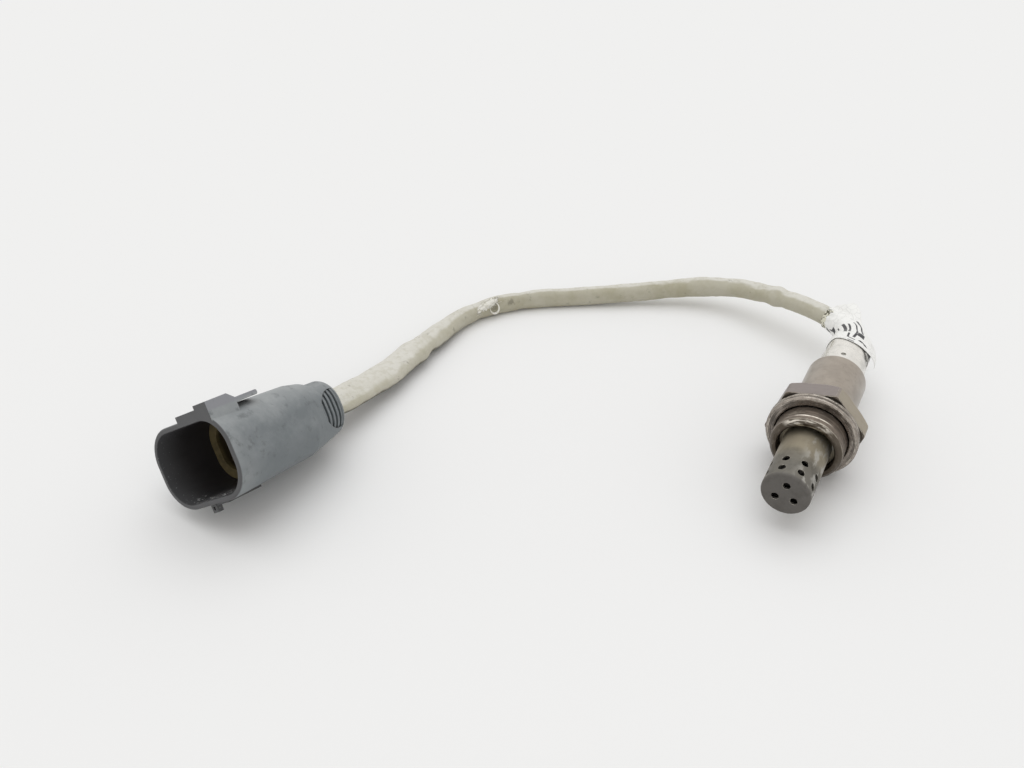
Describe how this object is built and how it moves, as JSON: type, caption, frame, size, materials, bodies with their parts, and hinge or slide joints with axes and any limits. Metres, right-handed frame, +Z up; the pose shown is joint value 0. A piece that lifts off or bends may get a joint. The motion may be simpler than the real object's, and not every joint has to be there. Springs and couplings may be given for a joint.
{
  "type": "oxygen sensor",
  "caption": "Exhaust oxygen sensor with a perforated probe, threaded hexagon shell and crush gasket, a sleeved pigtail cable and an oval plug-in connector.",
  "frame": {"origin": "on the sensor's axis, in the sealing face of the gasket", "axes": "+Y along the sensor's axis from the probe's tip to its cable end, +Z up as it lies on a bench"},
  "size_m": [0.1523, 0.1556, 0.0352],
  "materials": {
    "shell_steel": "worn, brown heat tint",
    "gasket_steel": "satin, used",
    "tube_steel": "dull, sooty",
    "inner_tube_steel": "dull, sooty",
    "washer_steel": "plain",
    "zirconia": "matt",
    "heater_ceramic": "matt",
    "talc": "pressed powder",
    "alumina": "matt",
    "cover_steel": "satin, warm brown tint",
    "sleeve_steel": "bright",
    "filter_polymer": "porous",
    "contact_metal": "plated",
    "dark_rubber": "matt",
    "lead_jacket": "smooth",
    "label_film": "creased",
    "sleeving": "stained woven sleeving",
    "housing_plastic": "satin, dusty",
    "carrier_plastic": "matt"
  },
  "bodies": {
    "root": {"shell_body": "shell_steel", "gasket_ring": "gasket_steel", "outer_protection_tube": "tube_steel", "inner_protection_tube": "inner_tube_steel", "seat_washer": "washer_steel", "clamp_ring": "washer_steel", "sensing_element": "zirconia", "heater_rod": "heater_ceramic", "talc_packing": "talc", "ceramic_insulator": "alumina", "contact_holder": "alumina", "upper_cover": "cover_steel", "rear_sleeve": "sleeve_steel", "vent_filter": "filter_polymer", "contact_springs": "contact_metal", "terminal_pins": "contact_metal", "rubber_grommet": "dark_rubber", "rear_seal": "dark_rubber", "sensor_leads": "lead_jacket", "connector_leads": "lead_jacket", "identification_label": "label_film", "cable_sleeve": "sleeving", "connector_housing": "housing_plastic", "terminal_carrier": "carrier_plastic"}
  },
  "joints": []
}
